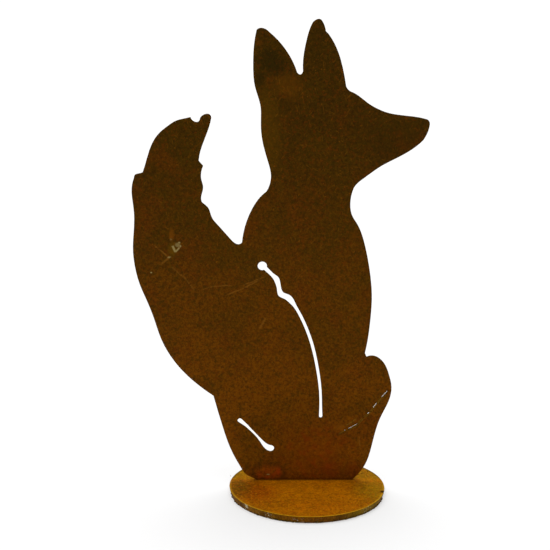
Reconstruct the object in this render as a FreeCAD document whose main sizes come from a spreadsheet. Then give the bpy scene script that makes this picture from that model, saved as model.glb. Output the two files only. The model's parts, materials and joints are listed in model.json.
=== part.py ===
import FreeCAD, Part
import Sketcher
import math
import os

# A sitting fox cut from sheet steel, standing on a round foot plate.
#
# Frame: the origin is the centre of the foot plate's underside, +Z is up, +X is the way the
# fox looks, and the sheet's front face looks along -Y. All sizes are in millimetres.

doc = FreeCAD.newDocument("FoxSilhouette")

# ---------------------------------------------------------------- driving dimensions

SIZES = [
    ("figure_height", 388.0, "foot line to the tip of the front ear"),
    ("figure_width", 238.5, "back of the tail to the nose"),
    ("sheet_thickness", 2.0, "the sheet that the fox is cut from"),
    ("figure_setback", 14.0, "how far the middle of the sheet stands behind the plate's centre"),
    ("thigh_slit_width", 2.5, "the long slit that draws the thigh, in its even stretch"),
    ("thigh_eye_diameter", 7.6, "round eye at the top of the thigh slit"),
    ("haunch_slit_width", 2.0, "the short slit that draws the haunch, at its waist"),
    ("paw_line_width", 1.8, "the fine line that draws the paw, a groove in the front face"),
    ("paw_line_depth", 0.6, "how deep the groove is between its through cuts"),
    ("paw_cut_width", 0.55, "the through cuts inside the groove"),
    ("foot_diameter", 130.0, "the round foot plate, across its top"),
    ("foot_edge_lean", 1.5, "how far the cut edge leans in from the top to the underside"),
    ("foot_thickness", 6.0, "the round foot plate"),
    ("foot_edge_break", 0.2, "the broken edge along the plate's two rims"),
    ("start_notch_diameter", 4.0, "where the cut of the plate began and ended"),
    ("start_notch_angle", -12.0, "its place on the rim, in degrees from +X"),
    ("weld_leg", 4.0, "leg of the weld beads, up the sheet and along the plate"),
    ("weld_length", 16.0, "each weld bead from end to end"),
    ("weld_inset_left", 3.0, "left end of the foot line to the left bead"),
    ("weld_inset_right", 0.0, "right end of the foot line to the right bead"),
]

sheet = doc.addObject("Spreadsheet::Sheet", "Sizes")
for row, (alias, value, note) in enumerate(SIZES, start=1):
    sheet.set(f"A{row}", alias)
    sheet.set(f"B{row}", str(value))
    sheet.setAlias(f"B{row}", alias)
    sheet.set(f"C{row}", note)
doc.recompute()

# ---------------------------------------------------------------- the fox's drawing
# Points are (x, z): x from the middle of the foot plate, z from the foot line. Each stretch
# is one smooth curve, and the outline has a corner wherever one stretch meets the next.
# The stretches run from the left end of the foot line, over the tail, ears and nose, and
# down the chest to the right end of the foot line.

OUTLINE = {
    "haunch_back": [(-42, 0), (-46.5, 2.5), (-51.5, 5.5), (-55, 10.5), (-60, 19.5),
                    (-66, 33), (-71, 48.5), (-75.5, 64), (-78.5, 75)],
    "tail_back": [(-78.5, 75), (-94, 87), (-105.5, 98.5), (-115, 111.5), (-122, 125.5),
                  (-127, 141), (-132.5, 156), (-138.5, 170.5), (-142.5, 186), (-144, 202),
                  (-143, 218), (-143, 234), (-144.5, 250), (-142.5, 260)],
    "tuft_step": [(-142.5, 260), (-141.5, 262.5), (-138.5, 263.5), (-135.5, 264.5)],
    "tail_crown": [(-135.5, 264.5), (-132, 276), (-127, 289.5), (-121.5, 297), (-115.5, 302),
                   (-108.5, 306.5), (-101, 308.5), (-97, 309.5)],
    "crown_notch": [(-97, 309.5), (-95, 306.5), (-92, 305.5), (-89.5, 308.5)],
    "tail_point": [(-89.5, 308.5), (-86.5, 311.5), (-82.5, 312), (-80.5, 309)],
    "tail_front_upper": [(-80.5, 309), (-82.5, 301), (-88, 286), (-90, 278.5), (-90.5, 274)],
    "hair_step": [(-90.5, 274), (-87, 270)],
    "tail_front_middle": [(-87, 270), (-88.5, 265), (-88.5, 259), (-87, 252.5), (-88.5, 245),
                          (-88, 240)],
    "tail_front_lower": [(-88, 240), (-85.5, 238), (-83, 235.5), (-80, 227.5), (-75.5, 221.5),
                         (-65, 209.5), (-62, 206.5), (-59, 205), (-55.5, 206.5)],
    "back": [(-55.5, 206.5), (-53.5, 218.5), (-48, 233.5), (-44, 240.5), (-36, 249)],
    "nape": [(-36, 249), (-33.5, 254.5), (-32.5, 262), (-34.5, 272), (-39, 287.5),
             (-41, 303), (-41.5, 319), (-46, 334.5), (-47.5, 350), (-46.5, 371), (-45, 379)],
    "rear_ear_tip": [(-45, 379), (-42.5, 380.5), (-38.5, 380), (-35, 377.5)],
    "rear_ear_front": [(-35, 377.5), (-24, 366.5), (-15.5, 353), (-12.5, 345.5)],
    "ear_valley": [(-12.5, 345.5), (-10, 344), (-8, 346.5)],
    "front_ear_back": [(-8, 346.5), (-8, 356), (-5.5, 371.5), (-3, 380.5), (-0.7, 385.5)],
    "front_ear_tip": [(-0.7, 385.5), (1.6, 387.3), (4, 388), (6.6, 386.5)],
    "ear_edge": [(6.6, 386.5), (8.6, 382.5), (9.5, 378.5)],
    "ear_step": [(9.5, 378.5), (12, 376)],
    "front_ear_brow": [(12, 376), (18, 366), (21, 358.5), (25, 343), (26.5, 335)],
    "brow": [(26.5, 335), (28.5, 332), (32, 330)],
    "forehead": [(32, 330), (38.5, 326), (45, 321), (52, 317), (59.5, 314), (75, 311.5),
                 (90.5, 309)],
    "nose": [(90.5, 309), (94, 306.5), (94, 303), (91.5, 295.5), (89.5, 292)],
    "jaw": [(89.5, 292), (83.5, 286.5), (70, 278), (56, 270.5), (43, 261), (37, 256),
            (34.5, 252.5)],
    "chest": [(34.5, 252.5), (32, 241), (34, 229), (38, 222.5), (44, 207.5), (49, 184.5),
              (51.5, 160.5), (51, 144.5), (48.5, 120.5), (47, 112.5)],
    "paw_crease": [(47, 112.5), (48.5, 109)],
    "foreleg": [(48.5, 109), (52, 110), (56, 109.5), (59.5, 107.5), (64.5, 101.5),
                (67.5, 94), (70, 83), (68, 70.5), (61.5, 56), (57, 41), (53.5, 25), (49, 12.5),
                (45, 6.5), (39, 0)],
}

# Each slit is a middle line with a width at each point, as a share of that slit's own width.
THIGH_SLIT = [(-36.5, 185.2, 1.4), (-33.7, 182.5, 1.35), (-30.5, 179.4, 1.3),
              (-27.6, 176.6, 1.75), (-25.9, 172.4, 1.6), (-24.9, 168, 1.4),
              (-23.3, 163.2, 2.0), (-18, 160.5, 2.1), (-14.8, 157.4, 1.9), (-12.4, 154, 1.3),
              (-7.6, 146, 1), (-1.8, 133.5, 1), (3, 119.8, 1), (6.4, 106, 0.95),
              (9, 92, 0.9), (10.7, 78, 0.85), (11.2, 64, 0.9), (11.3, 56.8, 1.15)]
THIGH_EYE = (-38.8, 187)
HAUNCH_SLIT = [(-56.3, 53, 2.0), (-53.7, 50.9, 1.7), (-50.8, 48.4, 1.35), (-47.8, 45.3, 1.15),
               (-44.9, 42.3, 1), (-42, 39.2, 1), (-39.3, 36, 1.2), (-36.4, 32.4, 1.75),
               (-33.5, 29.6, 2.5), (-30.3, 28.2, 2.9)]
PAW_LINE = [(67, 79.6), (61.9, 73.4), (57.8, 68.2), (52.1, 60.2), (47.2, 55.8), (41.8, 49.7),
            (34.6, 45.5), (25.8, 40.5)]
# Stretches of the paw line that go right through, as distances from its outer end.
PAW_LINE_CUTS = [(0.9, 7.7), (14.8, 19.1), (24.6, 26.6), (39.4, 47.1), (50.5, 51.1)]

outline_points = [point for stretch in OUTLINE.values() for point in stretch]
DRAWN_WIDTH = max(x for x, z in outline_points) - min(x for x, z in outline_points)
DRAWN_HEIGHT = max(z for x, z in outline_points)
FOOT_LINE_LEFT = OUTLINE["haunch_back"][0][0]
FOOT_LINE_RIGHT = OUTLINE["foreleg"][-1][0]


def drawn(x, z):
    """A point of the drawing as a sketch point, at the size that the sheet sets."""
    across = x * sheet.figure_width / DRAWN_WIDTH
    up = z * sheet.figure_height / DRAWN_HEIGHT
    return FreeCAD.Vector(across, up, 0)


# ---------------------------------------------------------------- sketch and feature helpers


def new_body(name):
    body = doc.addObject("PartDesign::Body", name)
    body.Label = name
    return body


def new_sketch(body, name, plane, offset=None):
    """A sketch on one of the body's own origin planes, moved along its normal by offset."""
    sketch = body.newObject("Sketcher::SketchObject", name)
    support = next(f for f in body.Origin.OriginFeatures if f.Role == plane)
    sketch.AttachmentSupport = [(support, "")]
    sketch.MapMode = "FlatFace"
    if offset:
        sketch.setExpression(".AttachmentOffset.Base.z", offset)
    return sketch


def through_points(points):
    """A smooth curve through the points, or a straight line where there are only two."""
    if len(points) == 2:
        return Part.LineSegment(points[0], points[1])
    curve = Part.BSplineCurve()
    curve.interpolate(points)
    return curve


def add_chain(sketch, curves):
    """Adds curves that meet end to end in a closed loop, and joins their ends.

    A sketch turns every arc anticlockwise, so a loop that has arcs runs anticlockwise too.
    """
    first = sketch.GeometryCount
    sketch.addGeometry(curves, False)
    joins = []
    for i in range(len(curves)):
        following = first + (i + 1) % len(curves)
        joins.append(Sketcher.Constraint("Coincident", first + i, 2, following, 1))
    sketch.addConstraint(joins)


def add_circle(sketch, centre, diameter):
    """A circle on a fixed centre, with its diameter bound to the sheet."""
    circle = sketch.addGeometry(Part.Circle(centre, FreeCAD.Vector(0, 0, 1), 1), False)
    sketch.addConstraint(Sketcher.Constraint("DistanceX", circle, 3, centre.x))
    sketch.addConstraint(Sketcher.Constraint("DistanceY", circle, 3, centre.y))
    size = sketch.addConstraint(Sketcher.Constraint("Diameter", circle, 2.0))
    sketch.setExpression(f"Constraints[{size}]", diameter)


def add_slit(sketch, middle, widths):
    """A closed slit with round ends: two edges at half the width from the middle line."""
    spine = through_points(middle)
    left, right, ahead = [], [], []
    for point, width in zip(middle, widths):
        along = spine.tangent(spine.parameter(point))[0]
        aside = FreeCAD.Vector(-along.y, along.x, 0) * (width / 2)
        left.append(point + aside)
        right.append(point - aside)
        ahead.append(along * (width / 2))
    far_end = Part.Arc(right[-1], middle[-1] + ahead[-1], left[-1])
    near_end = Part.Arc(left[0], middle[0] - ahead[0], right[0])
    left.reverse()
    add_chain(sketch, [through_points(right), far_end, through_points(left), near_end])


def pad(body, sketch, name, length):
    feature = body.newObject("PartDesign::Pad", name)
    feature.Profile = sketch
    feature.setExpression("Length", length)
    sketch.Visibility = False
    return feature


# A pocket that takes away less than this, in cubic millimetres, has missed the piece.
SMALLEST_CUT = 0.1


def cut(body, sketch, name, depth=None):
    """A pocket to a depth into the sheet, or right through it both ways without one."""
    doc.recompute()
    before = body.Shape.Volume
    feature = body.newObject("PartDesign::Pocket", name)
    feature.Profile = sketch
    if depth:
        feature.setExpression("Length", depth)
    else:
        feature.SideType = "Symmetric"
        feature.Type = "ThroughAll"
    sketch.Visibility = False
    doc.recompute()
    if body.Shape.Volume > before - SMALLEST_CUT:
        raise RuntimeError(f"{name} cuts nothing")
    return feature


# ---------------------------------------------------------------- the fox, cut from sheet


def make_fox():
    body = new_body("fox_silhouette")
    outline = new_sketch(body, "Outline", "XZ_Plane")
    curves = [through_points([drawn(x, z) for x, z in stretch]) for stretch in OUTLINE.values()]
    curves.append(Part.LineSegment(drawn(FOOT_LINE_RIGHT, 0), drawn(FOOT_LINE_LEFT, 0)))
    add_chain(outline, curves)
    blank = pad(body, outline, "Blank", "Sizes.sheet_thickness")
    blank.SideType = "Symmetric"

    thigh = new_sketch(body, "ThighSlit", "XZ_Plane")
    add_slit(thigh, [drawn(x, z) for x, z, share in THIGH_SLIT],
             [share * sheet.thigh_slit_width for x, z, share in THIGH_SLIT])
    cut(body, thigh, "ThighCut")
    eye = new_sketch(body, "ThighEye", "XZ_Plane")
    add_circle(eye, drawn(*THIGH_EYE), "Sizes.thigh_eye_diameter")
    cut(body, eye, "ThighEyeCut")

    haunch = new_sketch(body, "HaunchSlit", "XZ_Plane")
    add_slit(haunch, [drawn(x, z) for x, z, share in HAUNCH_SLIT],
             [share * sheet.haunch_slit_width for x, z, share in HAUNCH_SLIT])
    cut(body, haunch, "HaunchCut")

    # The paw line: a shallow groove in the front face, through in five short stretches.
    line = [drawn(x, z) for x, z in PAW_LINE]
    groove = new_sketch(body, "PawLine", "XZ_Plane", offset="Sizes.sheet_thickness / 2")
    add_slit(groove, line, [sheet.paw_line_width] * len(line))
    cut(body, groove, "PawLineGroove", "Sizes.paw_line_depth")
    spine = through_points(line)
    drawn_spine = through_points([FreeCAD.Vector(x, z, 0) for x, z in PAW_LINE])
    stretch_factor = spine.length() / drawn_spine.length()
    through = new_sketch(body, "PawLineCuts", "XZ_Plane")
    for start, end in PAW_LINE_CUTS:
        ends = [spine.value(spine.parameterAtDistance(at * stretch_factor)) for at in (start, end)]
        add_slit(through, ends, [sheet.paw_cut_width] * 2)
    cut(body, through, "PawLineThrough")

    body.setExpression(".Placement.Base.y", "Sizes.figure_setback")
    body.setExpression(".Placement.Base.z", "Sizes.foot_thickness")
    return body


# ---------------------------------------------------------------- the round foot plate


def make_foot_plate():
    body = new_body("foot_plate")
    plate = body.newObject("PartDesign::AdditiveCone", "Plate")
    plate.setExpression("Radius1", "Sizes.foot_diameter / 2 - Sizes.foot_edge_lean")
    plate.setExpression("Radius2", "Sizes.foot_diameter / 2")
    plate.setExpression("Height", "Sizes.foot_thickness")
    doc.recompute()

    rims = [f"Edge{i}" for i, edge in enumerate(plate.Shape.Edges, start=1)
            if isinstance(edge.Curve, Part.Circle)]
    edge_break = body.newObject("PartDesign::Chamfer", "RimBreak")
    edge_break.Base = (plate, rims)
    edge_break.setExpression("Size", "Sizes.foot_edge_break")

    # The notch is centred half way down the leaning edge, so that it runs from rim to rim.
    turn = math.radians(sheet.start_notch_angle)
    reach = sheet.foot_diameter / 2 - sheet.foot_edge_lean / 2
    notch_centre = FreeCAD.Vector(math.cos(turn), math.sin(turn), 0) * reach
    notch = new_sketch(body, "StartNotch", "XY_Plane")
    add_circle(notch, notch_centre, "Sizes.start_notch_diameter")
    cut(body, notch, "StartNotchCut")
    return body


# ---------------------------------------------------------------- weld beads behind the foot line

# How far the bead's face bulges: its middle as a share of the leg, where 0.5 would be flat.
BEAD_FULLNESS = 0.62


def add_bead_section(sketch):
    """The bead's section: a corner with two legs and a bulging face between them."""
    leg = sheet.weld_leg
    corner = FreeCAD.Vector(0, 0, 0)
    toe = FreeCAD.Vector(leg, 0, 0)
    top = FreeCAD.Vector(0, leg, 0)
    middle = FreeCAD.Vector(leg * BEAD_FULLNESS, leg * BEAD_FULLNESS, 0)
    add_chain(sketch, [Part.LineSegment(corner, toe), Part.Arc(toe, middle, top),
                       Part.LineSegment(top, corner)])


def make_weld_bead(name, centre_x):
    """A fillet bead along X, with both ends turned round against the sheet's rear face."""
    body = new_body(name)
    straight = "Sizes.weld_length / 2 - Sizes.weld_leg"
    section = new_sketch(body, f"{name}_section", "YZ_Plane")
    add_bead_section(section)
    run = pad(body, section, f"{name}_run", f"2 * ({straight})")
    run.SideType = "Symmetric"
    for side, sign in (("left", "-"), ("right", "")):
        end = new_sketch(body, f"{name}_{side}", "YZ_Plane", offset=f"{sign}({straight})")
        add_bead_section(end)
        turned = body.newObject("PartDesign::Revolution", f"{name}_{side}_end")
        turned.Profile = end
        turned.ReferenceAxis = (end, ["V_Axis"])
        turned.Angle = 90
        turned.Reversed = side == "right"
        end.Visibility = False
    body.setExpression(".Placement.Base.x", centre_x)
    body.setExpression(".Placement.Base.y", "Sizes.figure_setback + Sizes.sheet_thickness / 2")
    body.setExpression(".Placement.Base.z", "Sizes.foot_thickness")
    return body


def foot_line_end(x):
    return f"{x} * Sizes.figure_width / {DRAWN_WIDTH}"


parts = [
    make_fox(),
    make_foot_plate(),
    make_weld_bead("weld_bead_left", f"{foot_line_end(FOOT_LINE_LEFT)}"
                   " + Sizes.weld_inset_left + Sizes.weld_length / 2"),
    make_weld_bead("weld_bead_right", f"{foot_line_end(FOOT_LINE_RIGHT)}"
                   " - Sizes.weld_inset_right - Sizes.weld_length / 2"),
]

# ---------------------------------------------------------------- check and write

doc.recompute()
for item in doc.Objects:
    if "Invalid" in item.State or "Error" in item.State:
        raise RuntimeError(f"{item.Name} did not build: {item.State}")
os.makedirs("parts", exist_ok=True)
for part in parts:
    shape = part.Shape
    if shape.isNull() or not shape.isValid() or len(shape.Solids) != 1:
        raise RuntimeError(f"{part.Label} is not one valid solid")
    shape.exportStep(os.path.join("parts", f"{part.Label}.step"))
    box = shape.BoundBox
    print(f"{part.Label}: {shape.Volume / 1000:.2f} cm3,",
          f"x {box.XMin:.1f}..{box.XMax:.1f}, y {box.YMin:.1f}..{box.YMax:.1f},",
          f"z {box.ZMin:.1f}..{box.ZMax:.1f}")
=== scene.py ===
"""A sitting fox cut from rusted steel sheet, on a round foot plate: its surfaces, light and camera."""
import json
import math
import random

import bmesh
import bpy
from mathutils import Matrix, Vector

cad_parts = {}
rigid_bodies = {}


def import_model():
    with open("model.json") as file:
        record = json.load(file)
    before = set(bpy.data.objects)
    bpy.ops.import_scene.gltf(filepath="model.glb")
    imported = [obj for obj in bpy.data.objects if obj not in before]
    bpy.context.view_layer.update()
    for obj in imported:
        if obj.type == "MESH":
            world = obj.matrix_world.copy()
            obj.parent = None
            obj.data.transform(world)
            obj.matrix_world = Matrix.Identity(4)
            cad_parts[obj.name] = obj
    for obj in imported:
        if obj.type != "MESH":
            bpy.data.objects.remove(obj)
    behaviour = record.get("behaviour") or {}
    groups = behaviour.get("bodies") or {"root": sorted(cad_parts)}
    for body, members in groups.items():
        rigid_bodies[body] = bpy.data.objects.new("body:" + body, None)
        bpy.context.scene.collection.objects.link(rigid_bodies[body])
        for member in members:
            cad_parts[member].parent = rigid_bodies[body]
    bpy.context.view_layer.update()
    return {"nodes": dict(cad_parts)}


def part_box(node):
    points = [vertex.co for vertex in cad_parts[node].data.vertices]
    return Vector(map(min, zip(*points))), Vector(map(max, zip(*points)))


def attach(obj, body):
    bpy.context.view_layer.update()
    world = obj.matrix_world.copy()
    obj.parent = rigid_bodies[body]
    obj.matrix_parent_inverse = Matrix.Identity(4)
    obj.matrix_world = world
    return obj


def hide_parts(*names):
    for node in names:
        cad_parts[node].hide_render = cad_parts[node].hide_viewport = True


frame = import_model()

MM = 0.001
CHANCE = random.Random(7)

# Places and sizes that the CAD model settles, in metres
SHEET_LOW, SHEET_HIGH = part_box("fox_silhouette")
BACK = SHEET_HIGH.y
MIDDLE = (SHEET_LOW.y + BACK) / 2
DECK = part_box("foot_plate")[1].z
CREST = SHEET_HIGH.z
PLATE_RADIUS = 65.0 * MM
PLATE_LEAN = 1.5 * MM
RIM_WEAR = 0.2 * MM
NOTCH_DIAMETER = 4.0 * MM
NOTCH_ANGLE = math.radians(-12)

# How near two points of a CAD node are to be joined, and how flat its faces are to be made one
JOIN_GAP = 0.001 * MM
FLAT_ANGLE = math.radians(0.5)

# A face belongs to a cut edge when its normal is less square to the sheet or the plate than this
SHEET_EDGE_FACING = 0.9
PLATE_EDGE_FACING = 0.6

# The angles, in degrees, past which each piece's edges stay sharp
FOX_SHARP = 40
PLATE_SHARP = 35
BEAD_SHARP = 60
WELD_SHARP = 50

# The cut sheet
PANEL_STEP = 10 * MM
SHEET_EDGE_WEAR = 0.12 * MM
SHEET_WAVE = 0.9 * MM
SHEET_WAVE_LENGTH = 110 * MM
STIFF_HEIGHT = 30 * MM
LOOSE_HEIGHT = 180 * MM
CORNER_ANGLE = math.radians(60)
WEAR_SEGMENTS = 2

# The thick cut rim of the foot plate
RIM_LINES = 900
DRAG_DEPTHS = (0.05 * MM, 0.09 * MM, 0.14 * MM)
DRAG_SHARE = 0.16
DRAG_ROWS = (4.6 * MM, 3.2 * MM, 1.8 * MM)
DRAG_ROW_REACH = 0.1 * MM
DRAG_CURL = math.radians(0.5)
WORN_HEIGHT = RIM_WEAR * 1.5
RIM_BAND = 0.6 * MM
MIDDLE_BAND = 20 * MM
MANY_SIDES = 100
TORCH_SIDES = 24

# Beads of slag along the lower rim, dark so that they also paint the contact shadow under it: their sizes,
# and how many hang anywhere or in thick stretches, which are given in degrees
SLAG_HIGH = (0.3, 0.75)
SLAG_LONG = (0.6, 1.8)
SLAG_PROUD = (0.4, 0.8)
SLAG_ANYWHERE = 36
SLAG_RUNS = ((-120, -98, 24), (-86, -80, 8), (-66, -12, 44), (20, 60, 12))
SLAG_LIFT = 1.05

# The lumpy bead that slag and spatter are copied from, of radius 1
BEAD_SIDES = 8
BEAD_RINGS = 6
BEAD_END = 0.4
BEAD_LUMP = (0.25, 0.1, 0.15)
BEAD_FOOT = (1.15, 1.1, 1)

# The weld beads and the spatter round them
WELD_END = 0.5 * MM
RIPPLE_PITCH = 1.7 * MM
RIPPLE_SWELL = 1.09
RIPPLE_PINCH = 0.96
RIPPLE_BOW = 0.4 * MM
RINGS_A_RIPPLE = 4
WELD_FACETS = (22.5, 45, 67.5)
RING_REACH = 0.05 * MM
WELD_ROOT = 1.0 * MM
SPATTER_BALLS = 36
SPATTER_SIZE = (0.25, 0.65)
SPATTER_SPREAD = 11
SPATTER_ON_PLATE = (5, 18)
SPATTER_ON_SHEET = (5, 20)
SPATTER_SUNK = 0.4
SPATTER_TURN = (0, 6)
WELD_PLACES = (-31, 31)

# The colour sockets of a Mix node
MIX_FACTOR, MIX_WITHOUT, MIX_WITH, MIX_RESULT = 0, 6, 7, 2

# How a worn edge is found: by how far the rounded surface leans from the flat one
EDGE_SAMPLES = 6
EDGE_LEAN = (0.75, 0.99)

# Rust all over the figure has a faint warm sheen
SHEEN = 0.2
SHEEN_TINT = (255, 190, 110)
PLATE_SHEEN = 0.06
MOTTLE_LOW, MOTTLE_HIGH = 0.3, 0.7

# Each tint: how strongly it is laid, then its screen values from 0 to 255
SHEET_TINTS = {
    "olive": (0.4, 60, 41, 0),
    "red": (0.4, 92, 40, 1),
    "green bits": (0.55, 50, 36, 0),
    "red bits": (0.4, 98, 42, 0),
    "bright bits": (0.55, 128, 74, 8),
    "rubs": (0.4, 118, 70, 8),
    "grime": (0.45, 32, 27, 0),
    "muzzle": (0.35, 40, 25, 0),
    "front ear": (0.25, 40, 28, 0),
    "stain": (0.6, 22, 20, 0),
    "ear root": (0.3, 100, 58, 0),
    "ear tip": (0.35, 98, 50, 0),
    "nape": (0.3, 92, 60, 0),
    "low red and plate bounce": (0.25, 122, 50, 0),
    "red patches": (0.45, 122, 44, 0),
    "dark ring": (0.36, 48, 27, 4),
    "red heart": (0.95, 158, 64, 10),
    "hot": (0.55, 168, 58, 10),
    "right heat": (0.35, 112, 36, 4),
    "foot line": (0.3, 56, 22, 0),
    "behind welds": (0.7, 44, 34, 26),
    "scratched": (0.6, 120, 74, 16),
    "bruise": (0.45, 104, 72, 4),
    "streak": (0.5, 120, 66, 4),
    "chips_and_glint": (0.85, 150, 132, 78),
    "scraped": (0.6, 128, 92, 24),
    "paw orange": (0.5, 128, 72, 6),
}
PLATE_TINTS = {
    "red": (0.6, 120, 48, 0),
    "olive": (0.8, 88, 60, 0),
    "yellow": (0.75, 122, 92, 0),
    "orange": (0.3, 166, 90, 0),
    "behind": (0.85, 124, 86, 0),
    "warm bits": (0.35, 168, 82, 0),
    "bright bits": (0.6, 190, 122, 6),
    "red bits": (0.5, 140, 58, 0),
    "dark bits": (0.4, 84, 46, 0),
    "painted corner shade": (0.5, 58, 30, 0),
    "worn_and_highlight": (0.6, 186, 142, 20),
    "burnt": (0.7, 60, 34, 0),
    "back rim": (0.5, 84, 70, 0),
}
RIM_TINTS = {
    "middle": (0.5, 106, 56, 0),
    "olive": (0.6, 112, 90, 2),
    "burnt": (0.8, 66, 40, 0),
    "slag": (0.7, 38, 28, 8),
    "bare_and_glint": (0.85, 206, 200, 170),
}
CUT_LIT = (0.8, 170, 130, 40)
SLAG_BARE = (0.7, 170, 158, 120)
WELD_SCALE = (0.6, 48, 50, 46)

# Each cloud: the size of its lumps in millimetres, its seed, its detail, and where it starts and is full
SHEET_CLOUDS = {
    "olive": (40, 3.0, 3.0, 0.42, 0.62),
    "red": (26, 4.0, 4.0, 0.5, 0.66),
    "green bits": (2.4, 7.0, 2.0, 0.5, 0.66),
    "red bits": (2.2, 10.0, 2.0, 0.52, 0.68),
    "bright bits": (1.9, 8.0, 2.0, 0.64, 0.76),
    "red patches": (6, 16.0, 3.0, 0.48, 0.66),
    "heart": (4, 20.0, 3.0, 0.36, 0.58),
}
PLATE_CLOUDS = {
    "base": (20, 22.0, 4.0, 0.36, 0.66),
    "streaks": (5, 29.0, 3.0, 0.34, 0.66),
    "warm bits": (4, 30.0, 3.0, 0.52, 0.68),
    "bright bits": (2.0, 25.0, 2.0, 0.56, 0.68),
    "red bits": (2.4, 27.0, 2.0, 0.56, 0.68),
    "dark bits": (2.6, 26.0, 2.0, 0.64, 0.74),
}
RIM_CLOUDS = {
    "base": (9, 32.0, 4.0, 0.36, 0.62),
    "slag": (3, 33.0, 2.0, 0.42, 0.56),
    "glints": (16, 35.0, 2.0, 0.58, 0.66),
    "bare_and_glint": (1.1, 34.0, 1.0, 0.58, 0.66),
}
CUT_CLOUD = (7, 12.0, 3.0, 0.35, 0.65)
SLAG_BARE_CLOUD = (1.2, 52.0, 1.0, 0.66, 0.74)
WELD_CLOUD = (2.5, 41.0, 3.0, 0.36, 0.64)
WELD_SCALE_CLOUD = (1.4, 43.0, 1.0, 0.6, 0.7)

# Each patch on the sheet, in millimetres: X, Z, half its width and height, its turn and its full core
SHEET_PATCHES = {
    "muzzle": (68, 297, 36, 30, 0, 0.2),
    "front ear": (8, 374, 24, 26, 0, 0.2),
    "stain": (-33, 360, 19, 15, 35, 0.25),
    "stain below": (-41.5, 346, 7, 10, 0, 0.2),
    "ear root": (-19, 341, 16, 14),
    "ear tip": (-42.4, 375, 4, 3.5),
    "nape": (-35, 309, 14, 48, -6),
    "low red and plate bounce": (8, 22, 44, 44, 0, 0.1),
    "red patches": (8, 32, 40, 34, 0, 0.3),
    "hot": (-23.5, 13, 3.6, 7, 0, 0.1),
    "hot left": (-39.5, 10.5, 4.5, 5, 0, 0.1),
    "hot low": (-34, 8, 4, 2, 0, 0.1),
    "right heat": (20, 15, 12, 10),
    "far right heat": (40, 15, 9, 10),
    "behind left weld": (-31, 10, 17, 13, 0, 0.1),
    "behind right weld": (31, 10, 17, 13, 0, 0.1),
    "bruise": (-112, 207, 5, 9, 0, 0.2),
    "streak": (-112.6, 219.5, 3, 8),
    "paw orange": (27.7, 53.2, 6, 4),
    "paw cuts": (50, 65, 26, 26, 0, 0.6),
}

# Each patch on the foot plate, in millimetres: X, Y, half its size along each, and its full core
PLATE_PATCHES = {
    "red": (-41, -14, 22, 30, 0.2),
    "olive": (-57, -2, 14, 30, 0.2),
    "yellow": (56, -10, 24, 40, 0.1),
    "yellow behind": (-50, 40, 26, 26),
    "orange": (5, -42, 34, 18),
    "burnt": (63, -13.4, 4.5, 4, 0.4),
}
RIM_PATCHES = {
    "middle": (-4, -62, 32, 14, 0.3),
    "olive": (48, -46, 26, 34, 0.3),
    "burnt": (63, -13.4, 5, 5, 0.5),
    "left glints": (-51.5, -39, 5, 5),
    "middle glints": (-33, -55.5, 5, 5),
    "left glint": (-51.2, -39.4, 2.4, 2.4, 0.2),
}

# The ring of heat that the left weld leaves on the front: its middle and its half sizes
HEAT_MIDDLE = (-32.5 * MM, 0, 12 * MM)
HEAT_REACH = (13.5 * MM, 1, 9.5 * MM)

# Scratches on the front, in millimetres: their two ends, as X and Z, and their width
SCRATCHES = (
    ((-127.6, 211.2), (-114.8, 200.0), 1.9),
    ((-122.1, 193.6), (-113.8, 201.0), 2.2),
    ((-113.9, 193.2), (-99.4, 180.2), 2.0),
    ((-101.3, 181.8), (-93.7, 171.7), 2.0),
    ((-88.2, 172.8), (-78.0, 176.2), 1.6),
    ((-80.9, 175.8), (-62.5, 176.8), 1.6),
    ((-69.3, 168.3), (-54.3, 173.9), 1.6),
    ((-57.2, 172.9), (-40.5, 181.5), 1.8),
    ((-55.4, 176.4), (-35.7, 184.6), 1.3),
    ((-41.2, 138.7), (-35.3, 149.2), 2.6),
    ((43.9, 46.7), (45.0, 32.6), 1.6),
)

# The knock on the tail: two gouges, and chips with how bright each is, then its patch
GOUGES = (
    ((-112.1, 210.4), (-109.3, 204.2), 2.6),
    ((-109.8, 204.2), (-105.8, 209.0), 1.9),
)
CHIPS = (
    (0.6, (-107.7, 210.6, 3.0, 2.6, 20, 0.35)),
    (1.0, (-106.4, 212.6, 1.3, 1.1, 0, 0.3)),
    (1.0, (-105.5, 209.6, 1.1, 1.3, 0, 0.3)),
    (0.35, (-113.1, 215.2, 1.3, 1.3, 0, 0.1)),
    (0.7, (-114.6, 200.3, 2.2, 1.1, -10, 0.2)),
)
# Lone marks, each as a patch: a chip on the tail, and a painted glint at the foot over the left weld
LONE_CHIPS_AND_GLINT = (
    (-129.3, 187.3, 1.0, 0.8, 0, 0.5),
    (-32.2, 10.8, 1.9, 0.8, 0, 0.4),
)

# The line of the paw, along which its cuts are made, and the scrape beside its lower end
PAW_LINE = (
    (67, 85.6),
    (61.9, 79.4),
    (57.8, 74.2),
    (52.1, 66.2),
    (47.2, 61.8),
    (41.8, 55.7),
    (34.6, 51.5),
    (25.8, 46.5),
)
PAW_LINE_WIDTH = 2.0
PAW_SCRAPE = ((42, 61), (31.9, 54.4), 1.5)

# The floor, the light and the camera
FLOOR_SIZE = 130
FLOOR_RISE = 2
FLOOR_RISE_WIDTH = 45
FLOOR_DROP = -0.1 * MM
FLOOR_GREY = 0.4
FLOOR_GLOW = 0.47
SKY_POWER = 3.6
SKY_SPREAD = math.radians(70)
SKY_LEAN = (math.radians(-14), math.radians(-8), 0)
SURROUND_LIGHT = 0.4
EYE = Vector((-71.2, -1301.2, 548.1)) * MM
LOOK_RIGHT = math.radians(1.867)
LOOK_DOWN = math.radians(15.414)
LEAN = math.radians(0.654)
LENS = 109.26
SENSOR = 36


# ---------------------------------------------------------------- modelling by hand

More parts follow.
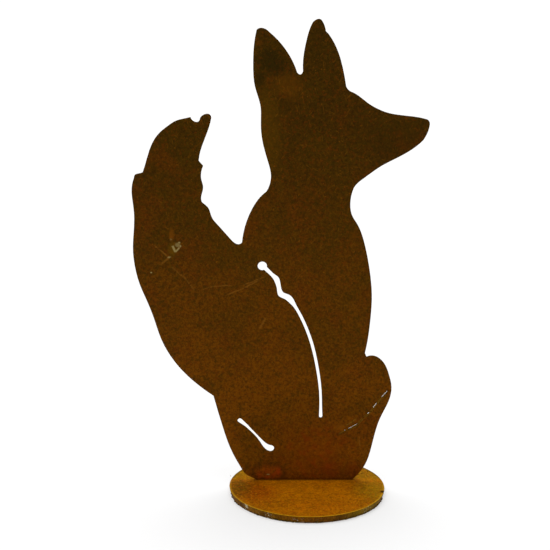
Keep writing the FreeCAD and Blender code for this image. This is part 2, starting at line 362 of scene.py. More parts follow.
def pick(piece):
    """Makes a piece the only one selected."""
    bpy.ops.object.select_all(action="DESELECT")
    piece.select_set(True)
    bpy.context.view_layer.objects.active = piece


def edit(piece):
    """Opens a piece in edit mode, all of it selected."""
    pick(piece)
    bpy.ops.object.mode_set(mode="EDIT")
    bpy.ops.mesh.select_all(action="SELECT")


def done():
    """Back to object mode."""
    bpy.ops.object.mode_set(mode="OBJECT")


def choose(piece, kind, test):
    """In edit mode, selects just the points, edges or faces that pass a test."""
    bpy.ops.mesh.select_mode(type=kind)
    bpy.ops.mesh.select_all(action="DESELECT")
    shape = bmesh.from_edit_mesh(piece.data)
    shape.normal_update()
    parts = {"VERT": shape.verts, "EDGE": shape.edges, "FACE": shape.faces}[kind]
    for part in parts:
        if test(part):
            part.select_set(True)
    shape.select_flush_mode()
    bmesh.update_edit_mesh(piece.data)


def slice_all(point, direction):
    """Cuts new edges through the whole piece, where a plane passes."""
    bpy.ops.mesh.select_all(action="SELECT")
    bpy.ops.mesh.bisect(plane_co=point, plane_no=direction)


def steps(low, high, step):
    """Even places from just above low to just below high."""
    count = int((high - low) / step)
    start = (low + high - count * step) / 2 + step / 2
    return [start + step * i for i in range(count)]


def joined_copy(node, name):
    """A new piece with a CAD node's shape, its loose triangles joined into flat faces."""
    piece = bpy.data.objects.new(name, frame["nodes"][node].data.copy())
    bpy.context.collection.objects.link(piece)
    piece.data.materials.clear()
    pick(piece)
    bpy.ops.mesh.customdata_custom_splitnormals_clear()
    edit(piece)
    bpy.ops.mesh.remove_doubles(threshold=JOIN_GAP)
    bpy.ops.mesh.dissolve_limited(angle_limit=FLAT_ANGLE)
    done()
    return piece


def paint(piece, *finishes):
    """Gives a piece its finishes: the first all over, the others to faces chosen by a test."""
    piece.data.materials.append(finishes[0])
    for slot, (finish, test) in enumerate(finishes[1:], start=1):
        piece.data.materials.append(finish)
        edit(piece)
        choose(piece, "FACE", test)
        piece.active_material_index = slot
        bpy.ops.object.material_slot_assign()
        done()


def smooth(piece, angle):
    """Smooth shading, with edges sharper than the angle kept."""
    pick(piece)
    bpy.ops.object.shade_smooth_by_angle(angle=math.radians(angle))


# ---------------------------------------------------------------- finishes

class Wire:
    """One output of a material's nodes. A sum written on it, such as 1 - rust, adds its own node."""

    def __init__(self, socket):
        self.socket = socket

    def node(self, kind, settings, sockets, output=0):
        """Adds any node to the material: its settings first, then what its sockets hold or take in."""
        tree = self.socket.id_data
        new = tree.nodes.new(kind)
        for name, value in settings.items():
            setattr(new, name, value)
        for key, value in sockets.items():
            if isinstance(value, Wire):
                tree.links.new(value.socket, new.inputs[key])
            else:
                new.inputs[key].default_value = value
        return Wire(new.outputs[output])

    def maths(self, operation, *terms):
        return self.node("ShaderNodeMath", {"operation": operation}, dict(enumerate(terms)))

    def __add__(self, other):
        return self.maths("ADD", self, other)

    def __sub__(self, other):
        return self.maths("SUBTRACT", self, other)

    def __rsub__(self, other):
        return self.maths("SUBTRACT", other, self)

    def __mul__(self, other):
        return self.maths("MULTIPLY", self, other)

    __radd__ = __add__
    __rmul__ = __mul__

    def size(self):
        """The value without its sign."""
        return self.maths("ABSOLUTE", self)

    def most(self, other):
        """The larger of two values."""
        return self.maths("MAXIMUM", self, other)

    def rise(self, low, high):
        """0 up to the low value and 1 from the high one, with a soft step between."""
        return self.node(
            "ShaderNodeMapRange",
            {"interpolation_type": "SMOOTHSTEP"},
            {"Value": self, "From Min": low, "From Max": high},
        )

    def fall(self, low, high):
        """1 up to the low value and 0 from the high one."""
        return 1 - self.rise(low, high)

    def colour(self, without, with_all):
        """A colour that turns from one to the other as this value goes from 0 to 1."""
        ends = {MIX_FACTOR: self, MIX_WITHOUT: without, MIX_WITH: with_all}
        return self.node("ShaderNodeMix", {"data_type": "RGBA"}, ends, MIX_RESULT)

    def shade(self, colour):
        """A colour made darker or lighter by this value."""
        return self.node(
            "ShaderNodeVectorMath", {"operation": "SCALE"}, {0: colour, "Scale": self}
        )

    def axis(self, number):
        """The X, Y or Z of a place, as 0, 1 or 2."""
        return self.node("ShaderNodeSeparateXYZ", {}, {0: self}, number)

    def cloud(self, lump, seed, detail=2.0, roughness=0.55, output=0):
        """Uneven clouds from 0 to 1, whose lumps are about the given size."""
        return self.node(
            "ShaderNodeTexNoise",
            {"noise_dimensions": "4D"},
            {"Vector": self, "W": seed, "Scale": 1 / lump, "Detail": detail, "Roughness": roughness},
            output,
        )

    def ragged(self, lump, amount, seed):
        """The same places, pushed about a little, so that an edge drawn on them is uneven."""
        push = self.cloud(lump, seed, output=1)
        middle = (0.5, 0.5, 0.5)
        push = self.node("ShaderNodeVectorMath", {"operation": "SUBTRACT"}, {0: push, 1: middle})
        push = self.node("ShaderNodeVectorMath", {"operation": "SCALE"}, {0: push, "Scale": amount})
        return self.node("ShaderNodeVectorMath", {"operation": "ADD"}, {0: self, 1: push})

    def flattened(self, x, y, z):
        """The same places, squeezed along some axes, so that a pattern stretches along them."""
        return self.node("ShaderNodeMapping", {}, {"Vector": self, "Scale": (x, y, z)})

    def centred(self, point, turn, half_sizes):
        """Places about a point, in half sizes, turned about the Y axis."""
        return self.node(
            "ShaderNodeMapping",
            {"vector_type": "TEXTURE"},
            {"Vector": self, "Location": point, "Rotation": (0, turn, 0), "Scale": half_sizes},
        )

    def blot(self, x, z, half_x, half_z, turn=0.0, core=0.3):
        """A soft patch about a point on the sheet, in millimetres and degrees."""
        near = self.centred((x * MM, 0, z * MM), math.radians(turn), (half_x * MM, 1, half_z * MM))
        return near.length().fall(core, 1)

    def spot(self, x, y, half_x, half_y, core=0.3):
        """A soft patch about a point on the foot plate, in millimetres."""
        near = self.centred((x * MM, y * MM, 0), 0, (half_x * MM, half_y * MM, 1))
        return near.length().fall(core, 1)

    def rubs(self, seed, turn):
        """Sparse short rub marks, all lying one way."""
        lain = self.centred((0, 0, 0), math.radians(turn), (6, 1, 1))
        return lain.patches(1.1, seed, 1.0, 0.66, 0.76)

    def patches(self, lump, seed, detail, start, full):
        """Clouds cut to patches: 0 up to where they start, 1 where they are full. Lumps in millimetres."""
        return self.cloud(lump * MM, seed, detail).rise(start, full)

    def mottled(self, pattern, spread, least):
        """This colour, darker and lighter over a pattern."""
        return (pattern.rise(MOTTLE_LOW, MOTTLE_HIGH) * spread + least).shade(self)

    def tinted(self, mask, share, red, green, blue):
        """This colour with a tint laid over it where a mask is."""
        return (mask * share).colour(self, tone(red, green, blue))

    def length(self):
        """How long a vector is."""
        return self.node("ShaderNodeVectorMath", {"operation": "LENGTH"}, {0: self}, 1)

    def near_edge(self, reach):
        """1 at the edges of the piece, fading to 0 within the reach."""
        rounded = self.node("ShaderNodeBevel", {"samples": EDGE_SAMPLES}, {"Radius": reach})
        flat = self.node("ShaderNodeNewGeometry", {}, {}, 1)
        lean = flat.node("ShaderNodeVectorMath", {"operation": "DOT_PRODUCT"}, {0: rounded, 1: flat}, 1)
        return lean.fall(*EDGE_LEAN)

    def scratch(self, start, end, width):
        """A thin straight scratch on the sheet between two points, in millimetres, thinner at its ends."""
        (x0, z0), (x1, z1) = start, end
        length = math.hypot(x1 - x0, z1 - z0)
        turn = -math.atan2(z1 - z0, x1 - x0)
        middle = ((x0 + x1) / 2 * MM, 0, (z0 + z1) / 2 * MM)
        near = self.centred(middle, turn, (length / 2 * MM, 1, width / 2 * MM))
        along = near.axis(0).size().fall(0.6, 1)
        return near.axis(2).size().fall(0.3, 1) * along


def tone(red, green, blue):
    """A colour given by its screen values from 0 to 255."""
    def light(value):
        share = value / 255
        return share / 12.92 if share <= 0.04045 else ((share + 0.055) / 1.055) ** 2.4
    return (light(red), light(green), light(blue), 1.0)


def together(masks):
    """Several masks as one: the largest of them everywhere."""
    whole = masks[0]
    for mask in masks[1:]:
        whole = whole.most(mask)
    return whole


def new_finish(name, sheen=SHEEN):
    """A new material, its shader and the places on the piece that it is drawn at."""
    material = bpy.data.materials.new(name)
    material.use_nodes = True
    tree = material.node_tree
    shader = tree.nodes["Principled BSDF"]
    place = Wire(tree.nodes.new("ShaderNodeTexCoord").outputs["Object"])
    shader.inputs["Specular IOR Level"].default_value = sheen
    shader.inputs["Specular Tint"].default_value = tone(*SHEEN_TINT)
    return material, shader, place


def feed(shader, **sockets):
    """Links what a finish has worked out to its shader. Base_Color stands for the Base Color socket."""
    tree = shader.id_data
    for name, wire in sockets.items():
        tree.links.new(wire.socket, shader.inputs[name.replace("_", " ")])


def relief(height, depth):
    """Makes the surface look raised where the height is large, by up to the depth."""
    return height.node("ShaderNodeBump", {}, {"Height": height, "Distance": depth})


def sheet_rust():
    """Even brown rust of the fox's two faces, with its stains, scratches and the tint of the weld heat."""
    material, shader, place = new_finish("rusted_sheet_face")
    tint, cloud, patch = SHEET_TINTS, SHEET_CLOUDS, SHEET_PATCHES
    height = (place.axis(2) - DECK) * (1 / (CREST - DECK))
    front = place.axis(1).fall(MIDDLE - 0.2 * MM, MIDDLE + 0.2 * MM)
    uneven = place.ragged(9 * MM, 7 * MM, 1.0)
    bitty = place.ragged(2 * MM, 1.2 * MM, 2.0)
    rough = place.ragged(1.4 * MM, 0.7 * MM, 18.0)

    # rust that goes from dark brown at the head to warm brown at the foot, its lighter foot partly painted
    # light thrown up from the floor
    colour = height.rise(0.0, 0.85).colour(tone(106, 57, 0), tone(56, 34, 0))
    colour = colour.tinted(place.patches(*cloud["olive"]), *tint["olive"])
    colour = colour.tinted(place.patches(*cloud["red"]), *tint["red"])

    # grain of the rust, in brown, olive and red
    grain = place.cloud(1.9 * MM, 5.0, 3.0, 0.7)
    fine = place.cloud(0.8 * MM, 6.0, 2.0, 0.6)
    mottle = grain * 0.7 + fine * 0.3
    colour = colour.mottled(mottle, 1.0, 0.5)
    green_bits = place.patches(*cloud["green bits"])
    colour = colour.tinted(green_bits, *tint["green bits"])
    colour = colour.tinted(place.patches(*cloud["red bits"]), *tint["red bits"])
    colour = colour.tinted(place.patches(*cloud["bright bits"]), *tint["bright bits"])
    rubs = together([place.rubs(13.0, 35), place.rubs(14.0, -50), place.rubs(15.0, 80)])
    colour = colour.tinted(rubs, *tint["rubs"])

    # grime along every edge, and the muzzle and the front ear darker
    colour = colour.tinted(place.near_edge(2.2 * MM), *tint["grime"])
    colour = colour.tinted(uneven.blot(*patch["muzzle"]), *tint["muzzle"])
    colour = colour.tinted(uneven.blot(*patch["front ear"]), *tint["front ear"])

    # dark wet stain across the rear ear, with orange rust at its root and tip
    stain = uneven.blot(*patch["stain"]).most(uneven.blot(*patch["stain below"])) * front
    colour = colour.tinted(stain, *tint["stain"])
    colour = colour.tinted(uneven.blot(*patch["ear root"]) * front, *tint["ear root"])
    colour = colour.tinted(bitty.blot(*patch["ear tip"]) * front, *tint["ear tip"])
    colour = colour.tinted(uneven.blot(*patch["nape"]) * front, *tint["nape"])

    # redder rust low down, with painted orange light reflected up from the plate and painted light from the
    # floor on the foot
    # painted orange light reflected up from the plate, over redder rust
    colour = colour.tinted(uneven.blot(*patch["low red and plate bounce"]), *tint["low red and plate bounce"])
    red_patches = uneven.blot(*patch["red patches"]) * bitty.patches(*cloud["red patches"])
    colour = colour.tinted(red_patches, *tint["red patches"])
    # painted light: the foot lightened where the floor and plate throw light up on it
    lit_foot = place.axis(2).fall(DECK + 6 * MM, DECK + 50 * MM)
    colour = (lit_foot * 0.35 + 1).shade(colour)

    # the heat of the left weld seen from the front: a dark ring round a red heart
    ring = bitty.ragged(5 * MM, 4 * MM, 9.0).centred(HEAT_MIDDLE, 0, HEAT_REACH)
    reach = ring.length()
    dark_ring = reach.rise(0.5, 0.9) * reach.fall(0.95, 1.35) * front
    colour = colour.tinted(dark_ring, *tint["dark ring"])
    patchy = place.ragged(3 * MM, 3 * MM, 19.0).patches(*cloud["heart"]) * 0.75 + 0.25
    brighter_side = place.axis(0).rise(-40 * MM, -25 * MM) * 0.55 + 0.45
    red_heart = reach.fall(0.1, 1.1) * front * grain.rise(0.25, 0.55) * patchy * brighter_side
    colour = colour.tinted(red_heart, *tint["red heart"])
    hot = bitty.blot(*patch["hot"]).most(bitty.blot(*patch["hot left"]) * 0.6)
    hot = hot.most(bitty.blot(*patch["hot low"]) * 0.7) * grain.rise(0.25, 0.5) * front
    colour = colour.tinted(hot, *tint["hot"])

    # the fainter heat of the right weld, a painted shadow along the foot where the sheet meets the plate,
    # and the soot behind both welds
    right_heat = uneven.blot(*patch["right heat"]).most(uneven.blot(*patch["far right heat"])) * front
    colour = colour.tinted(right_heat, *tint["right heat"])
    # painted shadow in the corner where the sheet stands on the plate
    painted_foot_shadow = place.axis(2).fall(DECK + 0.5 * MM, DECK + 2.5 * MM)
    colour = colour.tinted(painted_foot_shadow, *tint["foot line"])
    welds = uneven.blot(*patch["behind left weld"]).most(uneven.blot(*patch["behind right weld"]))
    colour = colour.tinted(welds * (1 - front), *tint["behind welds"])

    # scratches from handling, all on the front
    dragged = place.ragged(6 * MM, 2 * MM, 17.0)
    scratched = together([dragged.scratch(*mark) for mark in SCRATCHES])
    scratched = scratched * grain.rise(0.28, 0.55) * front
    colour = colour.tinted(scratched, *tint["scratched"])

    # the worst knock, on the tail: a yellow bruise, an orange streak above it and bare bright chips
    colour = colour.tinted(bitty.blot(*patch["bruise"]) * front, *tint["bruise"])
    colour = colour.tinted(bitty.blot(*patch["streak"]) * front, *tint["streak"])
    knocks = [rough.scratch(*gouge) for gouge in GOUGES]
    knocks += [rough.blot(*chip) * brightness for brightness, chip in CHIPS]
    # a lone chip on the tail, and a painted glint at the foot over the left weld
    knocks += [place.blot(*chip) for chip in LONE_CHIPS_AND_GLINT]
    chips_and_glint = together(knocks) * front
    colour = colour.tinted(chips_and_glint, *tint["chips_and_glint"])

    # the line of the paw, scraped lighter along its cuts
    scrapes = [dragged.scratch(*PAW_SCRAPE)]
    scrapes += [place.scratch(start, end, PAW_LINE_WIDTH) for start, end in zip(PAW_LINE, PAW_LINE[1:])]
    scraped = together(scrapes) * grain.rise(0.2, 0.5) * front
    colour = colour.tinted(scraped, *tint["scraped"])
    colour = colour.tinted(bitty.blot(*patch["paw orange"]) * front, *tint["paw orange"])

    feed(
        shader,
        Base_Color=colour,
        Roughness=0.92 - mottle * 0.16 - scratched * 0.2 - chips_and_glint * 0.3,
        Normal=relief(mottle + green_bits * -0.5 + scratched * -0.4 + chips_and_glint * 0.5, 0.3 * MM),
    )
    return material


def cut_edge_rust():
    """Darker rust of the sheet's torch-cut edges, with fine lines across the thickness."""
    material, shader, place = new_finish("rusted_sheet_edge")
    lines = place.flattened(1, 0.12, 1).cloud(0.55 * MM, 11.0, 1.0)
    colour = place.patches(*CUT_CLOUD).colour(tone(46, 32, 0), tone(78, 52, 0))
    colour = colour.mottled(lines, 0.7, 0.6)
    colour = colour.tinted(place.blot(*SHEET_PATCHES["paw cuts"]), *CUT_LIT)
    feed(
        shader,
        Base_Color=colour,
        Roughness=0.9 - lines * 0.15,
        Normal=relief(lines, 0.25 * MM),
    )
    return material


def plate_rust():
    """Thick ochre and orange rust of the foot plate's top."""
    material, shader, place = new_finish("rusted_plate_top", PLATE_SHEEN)
    tint, cloud, patch = PLATE_TINTS, PLATE_CLOUDS, PLATE_PATCHES
    uneven = place.ragged(12 * MM, 9 * MM, 21.0)
    streaky = place.ragged(9 * MM, 12 * MM, 28.0)

    # broad tones: red to the left, olive at its rim, yellow to the right and orange in front
    # these base tones are lighter than the sheet's, partly as painted light from overhead on the
    # upward-facing top
    colour = place.patches(*cloud["base"]).colour(tone(136, 78, 0), tone(148, 86, 0))
    colour = colour.tinted(streaky.spot(*patch["red"]), *tint["red"])
    colour = colour.tinted(uneven.spot(*patch["olive"]), *tint["olive"])
    yellow = uneven.spot(*patch["yellow"]).most(uneven.spot(*patch["yellow behind"]))
    colour = colour.tinted(yellow, *tint["yellow"])
    colour = colour.tinted(uneven.spot(*patch["orange"]), *tint["orange"])

    # painted light just in front of the sheet, against the shadow it casts there, and painted shade with a
    # yellower tint behind it
    painted_light_near_sheet = place.axis(1).rise(-38 * MM, -6 * MM)
    painted_light_near_sheet = painted_light_near_sheet * place.axis(0).rise(-50 * MM, -20 * MM) * place.axis(0).fall(22 * MM, 46 * MM)
    colour = (painted_light_near_sheet * 0.36 + 1).shade(colour)
    # painted shade behind the sheet, in a yellower tint
    behind = uneven.axis(1).rise(BACK - 3 * MM, BACK + 3 * MM)
    colour = colour.tinted(behind, *tint["behind"])

    # streaks and grain
    colour = (streaky.patches(*cloud["streaks"]) * 0.34 + 0.83).shade(colour)
    colour = colour.tinted(streaky.patches(*cloud["warm bits"]), *tint["warm bits"])
    grain = place.cloud(1.6 * MM, 23.0, 3.0, 0.7)
    fine = place.cloud(0.6 * MM, 24.0, 2.0)
    mottle = grain * 0.7 + fine * 0.3
    colour = colour.mottled(mottle, 0.9, 0.55)
    bright_bits = place.patches(*cloud["bright bits"])
    colour = colour.tinted(bright_bits, *tint["bright bits"])
    colour = colour.tinted(place.patches(*cloud["red bits"]), *tint["red bits"])
    dark_bits = place.patches(*cloud["dark bits"])
    colour = colour.tinted(dark_bits, *tint["dark bits"])

    # painted shade in the corner against the foot of the sheet
    beside = (place.axis(1) - MIDDLE).size().fall(1.2 * MM, 5 * MM)
    under = (place.axis(0) + 1.5 * MM).size().fall(38 * MM, 46 * MM)
    colour = colour.tinted(beside * under, *tint["painted corner shade"])

    # the rim: worn, with a painted highlight along its front edge, burnt where the cut began, and darker
    # behind
    out = place.flattened(1, 1, 0).length()
    # wear, and a painted highlight where the rounded top edge catches the light, only towards the front
    worn_and_highlight = out.rise(PLATE_RADIUS - 2.2 * MM, PLATE_RADIUS - 0.6 * MM) * grain.rise(0.3, 0.5)
    worn_and_highlight = worn_and_highlight * place.axis(1).fall(-10 * MM, 20 * MM)
    colour = colour.tinted(worn_and_highlight, *tint["worn_and_highlight"])
    colour = colour.tinted(place.spot(*patch["burnt"]), *tint["burnt"])
    back_rim = out.rise(PLATE_RADIUS - 3 * MM, PLATE_RADIUS - 1 * MM) * behind
    colour = colour.tinted(back_rim, *tint["back rim"])
    feed(
        shader,
        Base_Color=colour,
        Roughness=0.95 - mottle * 0.15 - worn_and_highlight * 0.15,
        Normal=relief(mottle + dark_bits * -0.4 + bright_bits * 0.3, 0.3 * MM),
    )
    return material


def plate_edge_rust():
    """Rust of the foot plate's cut rim, with the torch's drag lines."""
    material, shader, place = new_finish("rusted_plate_edge")
    tint, cloud, patch = RIM_TINTS, RIM_CLOUDS, RIM_PATCHES
    lines = place.flattened(1, 1, 0.12).cloud(0.8 * MM, 31.0, 1.0)
    colour = place.patches(*cloud["base"]).colour(tone(84, 52, 2), tone(122, 80, 6))
    colour = colour.tinted(place.spot(*patch["middle"]), *tint["middle"])
    colour = colour.tinted(place.spot(*patch["olive"]), *tint["olive"])
    colour = colour.mottled(lines, 0.6, 0.65)
    colour = colour.tinted(place.spot(*patch["burnt"]), *tint["burnt"])
    # the lower rim darkened by slag and by painted contact shadow under the rim
    slag = place.axis(2).fall(0.6 * MM, 2.2 * MM) * place.patches(*cloud["slag"])
    colour = colour.tinted(slag, *tint["slag"])

    # bare bright metal and painted glints, mostly in two places at the front and in one chip at the left
    glints = place.spot(*patch["left glints"]).most(place.spot(*patch["middle glints"]))
    glints = glints.most(place.patches(*cloud["glints"]) * 0.6)
    bare_and_glint = place.patches(*cloud["bare_and_glint"]) * glints
    left_glint = place.spot(*patch["left glint"]) * place.axis(2).rise(2.2 * MM, 3.4 * MM)
    bare_and_glint = bare_and_glint.most(left_glint * 0.8)
    colour = colour.tinted(bare_and_glint, *tint["bare_and_glint"])
    feed(
        shader,
        Base_Color=colour,
        Roughness=0.9 - lines * 0.15 - bare_and_glint * 0.3,
        Metallic=bare_and_glint * 0.6,
        Normal=relief(lines - slag * 0.4, 0.3 * MM),
    )
    return material


def slag_rust():
    """Dark crust of slag, dark partly to paint the contact shadow under the plate's rim, with a few bare
    bright places that also stand in for glints.
    """
    material, shader, place = new_finish("dark_slag")
    lumps = place.cloud(3 * MM, 51.0, 3.0)
    colour = lumps.rise(0.4, 0.62).colour(tone(44, 36, 8), tone(100, 74, 6))
    bare_and_glint = place.patches(*SLAG_BARE_CLOUD)
    colour = colour.tinted(bare_and_glint, *SLAG_BARE)
    feed(
        shader,
        Base_Color=colour,
        Roughness=0.8 - bare_and_glint * 0.35,
        Metallic=bare_and_glint * 0.6,
        Normal=relief(lumps, 0.2 * MM),
    )
    return material


def weld_rust():
    """Dark grey-brown rust of weld metal, with scale left in its ripples."""
    material, shader, place = new_finish("rusted_weld_metal")
    colour = place.patches(*WELD_CLOUD).colour(tone(62, 46, 24), tone(104, 62, 16))
    grain = place.cloud(0.5 * MM, 42.0, 2.0)
    colour = colour.mottled(grain, 0.6, 0.65)
    scale = place.patches(*WELD_SCALE_CLOUD)
    colour = colour.tinted(scale, *WELD_SCALE)
    feed(
        shader,
        Base_Color=colour,
        Roughness=0.8 - scale * 0.3,
        Metallic=scale * 0.5,
        Normal=relief(grain, 0.12 * MM),
    )
    return material


# ---------------------------------------------------------------- the fox

def make_fox():
    """The cut sheet, with worn edges and the slight waves that cutting leaves in it."""
    fox = joined_copy("fox_silhouette", "fox_sheet")
    edit(fox)
    for x in steps(SHEET_LOW.x, SHEET_HIGH.x, PANEL_STEP):
        slice_all((x, 0, 0), (1, 0, 0))
    for z in steps(SHEET_LOW.z, SHEET_HIGH.z, PANEL_STEP):
        slice_all((0, 0, z), (0, 0, 1))
    choose(fox, "EDGE", lambda e: len(e.link_faces) == 2 and e.calc_face_angle() > CORNER_ANGLE)
    bpy.ops.mesh.bevel(offset=SHEET_EDGE_WEAR, segments=WEAR_SEGMENTS, clamp_overlap=False)
    done()

    loose = fox.vertex_groups.new(name="loose")
    for point in fox.data.vertices:
        share = (point.co.z - DECK - STIFF_HEIGHT) / (LOOSE_HEIGHT - STIFF_HEIGHT)
        loose.add([point.index], min(max(share, 0), 1), "REPLACE")
    waves = bpy.data.textures.new("waves", "CLOUDS")
    waves.noise_scale = SHEET_WAVE_LENGTH
    waves.noise_depth = 0
    bend = fox.modifiers.new("waves", "DISPLACE")
    bend.texture = waves
    bend.texture_coords = "LOCAL"
    bend.direction = "Y"
    bend.strength = SHEET_WAVE
    bend.vertex_group = loose.name
    pick(fox)
    bpy.ops.object.modifier_apply(modifier=bend.name)
    smooth(fox, FOX_SHARP)
    return fox


# ---------------------------------------------------------------- the foot plate

def make_plate():
    """The round foot plate, cut by torch: its leaning rim, drag lines and the notch where the cut began."""
    thickness = DECK
    bpy.ops.mesh.primitive_cylinder_add(
        vertices=RIM_LINES, radius=PLATE_RADIUS, depth=thickness, location=(0, 0, thickness / 2)
    )
    plate = bpy.context.object
    plate.name = "foot_disc"
    bpy.ops.object.transform_apply(location=True)
    edit(plate)
    choose(plate, "VERT", lambda v: v.co.z < thickness / 2)
    narrow = 1 - PLATE_LEAN / PLATE_RADIUS
    bpy.ops.transform.resize(value=(narrow, narrow, 1), center_override=(0, 0, 0))
    choose(plate, "EDGE", lambda e: abs(e.verts[0].co.z - e.verts[1].co.z) < thickness / 2)
    bpy.ops.mesh.bevel(offset=RIM_WEAR, segments=WEAR_SEGMENTS)
    for z in DRAG_ROWS:
        slice_all((0, 0, z), (0, 0, 1))
    for depth in DRAG_DEPTHS:
        cut = {i for i in range(RIM_LINES) if CHANCE.random() < DRAG_SHARE}
        step = math.tau / RIM_LINES

        def on_line(v):
            line = round(math.atan2(v.co.y, v.co.x) / step) % RIM_LINES
            return line in cut and WORN_HEIGHT < v.co.z < thickness - WORN_HEIGHT

        choose(plate, "VERT", on_line)
        inward = 1 - depth / PLATE_RADIUS
        bpy.ops.transform.resize(value=(inward, inward, 1), center_override=(0, 0, 0))
    for z in DRAG_ROWS:
        choose(plate, "VERT", lambda v: WORN_HEIGHT < v.co.z < z + DRAG_ROW_REACH)
        bpy.ops.transform.rotate(value=DRAG_CURL, orient_axis="Z", center_override=(0, 0, 0))
    choose(plate, "FACE", lambda f: len(f.verts) > MANY_SIDES)
    bpy.ops.mesh.inset(thickness=RIM_BAND)
    bpy.ops.mesh.inset(thickness=MIDDLE_BAND)
    done()

    reach = PLATE_RADIUS - PLATE_LEAN / 2
    bpy.ops.object.select_all(action="DESELECT")
    bpy.ops.mesh.primitive_cylinder_add(
        vertices=TORCH_SIDES,
        radius=NOTCH_DIAMETER / 2,
        depth=3 * thickness,
        location=(reach * math.cos(NOTCH_ANGLE), reach * math.sin(NOTCH_ANGLE), thickness / 2),
    )
    torch = bpy.context.object
    bite = plate.modifiers.new("notch", "BOOLEAN")
    bite.object = torch
    bite.operation = "DIFFERENCE"
    pick(plate)
    bpy.ops.object.modifier_apply(modifier=bite.name)
    bpy.data.objects.remove(torch)
    smooth(plate, PLATE_SHARP)
    return plate


def scattered(bead, places, name):
    """Copies of one bead, each stretched and turned to its own place, joined as one piece."""
    for spot, turn, stretch in places:
        pick(bead)
        bpy.ops.object.duplicate()
        copy = bpy.context.object
        copy.name = name
        copy.location = spot
        copy.rotation_euler.z = turn
        copy.scale = stretch
    bpy.data.objects.remove(bead)
    copies = [o for o in bpy.data.objects if o.name.startswith(name)]
    pick(copies[0])
    for copy in copies:
        copy.select_set(True)
    bpy.ops.object.join()
    piece = bpy.context.object
    piece.name = name
    bpy.ops.object.transform_apply()
    smooth(piece, BEAD_SHARP)
    return piece


def one_bead():
    """A lumpy little bead, 2 across, that slag and spatter are copied from."""
    bpy.ops.object.select_all(action="DESELECT")
    bpy.ops.mesh.primitive_uv_sphere_add(segments=BEAD_SIDES, ring_count=BEAD_RINGS, radius=1)
    bead = bpy.context.object
    edit(bead)
    choose(bead, "VERT", lambda v: v.co.x > BEAD_END)
    bpy.ops.transform.translate(value=BEAD_LUMP)
    choose(bead, "VERT", lambda v: v.co.z < -BEAD_END)
    bpy.ops.transform.resize(value=BEAD_FOOT, center_override=(0, 0, 0))
    done()
    return bead


def make_slag():
    """Beads of slag that the torch left hanging along the foot plate's lower rim, dark, so that they also
    paint the contact shadow under it.
    """
    places = []
    foot = PLATE_RADIUS - PLATE_LEAN
    for degrees in slag_angles():
        turn = math.radians(degrees)
        high = CHANCE.uniform(*SLAG_HIGH) * MM
        long = CHANCE.uniform(*SLAG_LONG) * MM
        proud = CHANCE.uniform(*SLAG_PROUD) * MM
        spot = (foot * math.cos(turn), foot * math.sin(turn), high * SLAG_LIFT)
        places.append((spot, turn, (proud, long, high)))
    return scattered(one_bead(), places, "rim_slag")


def slag_angles():
    """Where slag hangs, in degrees round the rim: thick in a few places and thin elsewhere."""
    angles = [CHANCE.uniform(0, 360) for bead in range(SLAG_ANYWHERE)]
    for low, high, beads in SLAG_RUNS:
        angles += [CHANCE.uniform(low, high) for bead in range(beads)]
    return angles


# ---------------------------------------------------------------- the welds

def make_weld(node, name):
    """A fillet weld behind the sheet, with the ripples of its run."""
    weld = joined_copy(node, name)
    low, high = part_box(node)
    root = (0, low.y, low.z)
    edit(weld)
    rings = steps(low.x + WELD_END, high.x - WELD_END, RIPPLE_PITCH / RINGS_A_RIPPLE)
    for x in rings:
        slice_all((x, 0, 0), (1, 0, 0))
    for turn in WELD_FACETS:
        slant = math.radians(turn)
        slice_all(root, (0, math.sin(slant), -math.cos(slant)))
    for start, swell in ((0, RIPPLE_SWELL), (RINGS_A_RIPPLE // 2, RIPPLE_PINCH)):
        places = rings[start::RINGS_A_RIPPLE]
        choose(weld, "VERT", lambda v: any(abs(v.co.x - x) < RING_REACH for x in places))
        bpy.ops.transform.resize(value=(1, swell, swell), center_override=root)
    choose(weld, "VERT", lambda v: v.co.y > low.y + WELD_ROOT and v.co.z > low.z + WELD_ROOT)
    bpy.ops.transform.translate(value=(RIPPLE_BOW, 0, 0))
    done()
    smooth(weld, WELD_SHARP)
    return weld


def make_spatter():
    """Balls of weld spatter on the plate and the sheet, behind the fox."""
    places = []
    for ball in range(SPATTER_BALLS):
        size = CHANCE.uniform(*SPATTER_SIZE) * MM
        weld_x = CHANCE.choice(WELD_PLACES) * MM
        x = weld_x + CHANCE.gauss(0, SPATTER_SPREAD) * MM
        if ball % 2:
            spot = (x, BACK + CHANCE.uniform(*SPATTER_ON_PLATE) * MM, DECK + size * SPATTER_SUNK)
        else:
            spot = (x, BACK + size * SPATTER_SUNK, DECK + CHANCE.uniform(*SPATTER_ON_SHEET) * MM)
        places.append((spot, CHANCE.uniform(*SPATTER_TURN), (size, size, size)))
    return scattered(one_bead(), places, "weld_spatter")


sheet_face = sheet_rust()
sheet_edge = cut_edge_rust()
plate_top = plate_rust()
plate_edge = plate_edge_rust()
weld_metal = weld_rust()
slag_crust_and_contact_shadow = slag_rust()

fox = make_fox()
paint(fox, sheet_face, (sheet_edge, lambda f: abs(f.normal.y) < SHEET_EDGE_FACING))
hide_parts("fox_silhouette")
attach(fox, "root")

plate = make_plate()
paint(plate, plate_top, (plate_edge, lambda f: abs(f.normal.z) < PLATE_EDGE_FACING))
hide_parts("foot_plate")
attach(plate, "root")

for side in ("left", "right"):
    weld = make_weld("weld_bead_" + side, "weld_" + side)
    paint(weld, weld_metal)
    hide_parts("weld_bead_" + side)
    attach(weld, "root")

# slag beads, whose dark crust also paints the contact shadow under the rim
slag = make_slag()
paint(slag, slag_crust_and_contact_shadow)
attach(slag, "root")

spatter = make_spatter()
paint(spatter, weld_metal)
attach(spatter, "root")


# ---------------------------------------------------------------- floor, light and camera

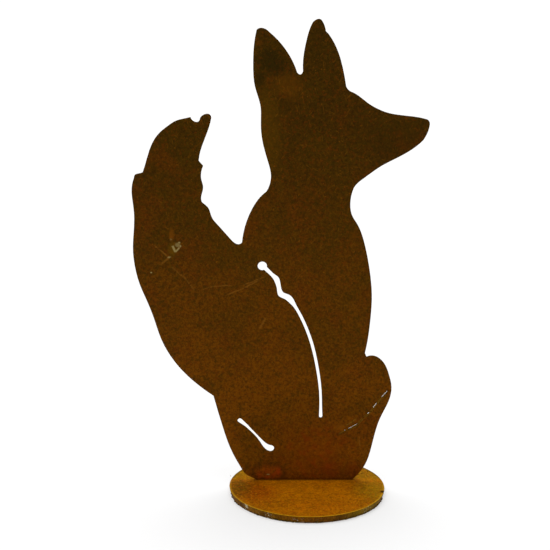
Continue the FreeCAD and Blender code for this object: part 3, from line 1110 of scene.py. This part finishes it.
def make_floor():
    """A plain pale floor, which rises very gently far away so that its end is never in sight."""
    bpy.ops.object.select_all(action="DESELECT")
    bpy.ops.mesh.primitive_plane_add(size=FLOOR_SIZE, location=(0, 0, FLOOR_DROP))
    floor = bpy.context.object
    floor.name = "floor"
    edit(floor)
    bpy.ops.mesh.inset(thickness=FLOOR_RISE_WIDTH)
    choose(floor, "VERT", lambda v: abs(v.co.x) > FLOOR_SIZE / 2 - FLOOR_RISE_WIDTH / 2)
    bpy.ops.transform.translate(value=(0, 0, FLOOR_RISE))
    done()
    material = bpy.data.materials.new("pale_floor")
    material.use_nodes = True
    shader = material.node_tree.nodes["Principled BSDF"]
    shader.inputs["Base Color"].default_value = (FLOOR_GREY, FLOOR_GREY, FLOOR_GREY, 1)
    shader.inputs["Emission Color"].default_value = (1, 1, 1, 1)
    shader.inputs["Emission Strength"].default_value = FLOOR_GLOW
    shader.inputs["Roughness"].default_value = 1.0
    shader.inputs["Specular IOR Level"].default_value = 0.0
    floor.data.materials.append(material)


def make_light():
    """Soft studio light: a wide sky overhead and a pale surround."""
    sky = bpy.data.lights.new("overhead", "SUN")
    sky.energy = SKY_POWER
    sky.angle = SKY_SPREAD
    lamp = bpy.data.objects.new("overhead", sky)
    lamp.rotation_euler = SKY_LEAN
    bpy.context.collection.objects.link(lamp)
    world = bpy.data.worlds.new("surround")
    world.use_nodes = True
    backdrop = world.node_tree.nodes["Background"]
    backdrop.inputs["Color"].default_value = (1, 1, 1, 1)
    backdrop.inputs["Strength"].default_value = SURROUND_LIGHT
    bpy.context.scene.world = world


def make_camera():
    """The camera, a little above the fox and looking down at it through a long lens."""
    lens = bpy.data.cameras.new("camera")
    lens.lens = LENS
    lens.sensor_width = SENSOR
    camera = bpy.data.objects.new("camera", lens)
    camera.matrix_world = (
        Matrix.Translation(EYE)
        @ Matrix.Rotation(-LOOK_RIGHT, 4, "Z")
        @ Matrix.Rotation(math.radians(90) - LOOK_DOWN, 4, "X")
        @ Matrix.Rotation(LEAN, 4, "Z")
    )
    bpy.context.collection.objects.link(camera)
    bpy.context.scene.camera = camera


make_floor()
make_light()
make_camera()
bpy.context.scene.view_settings.view_transform = "Standard"
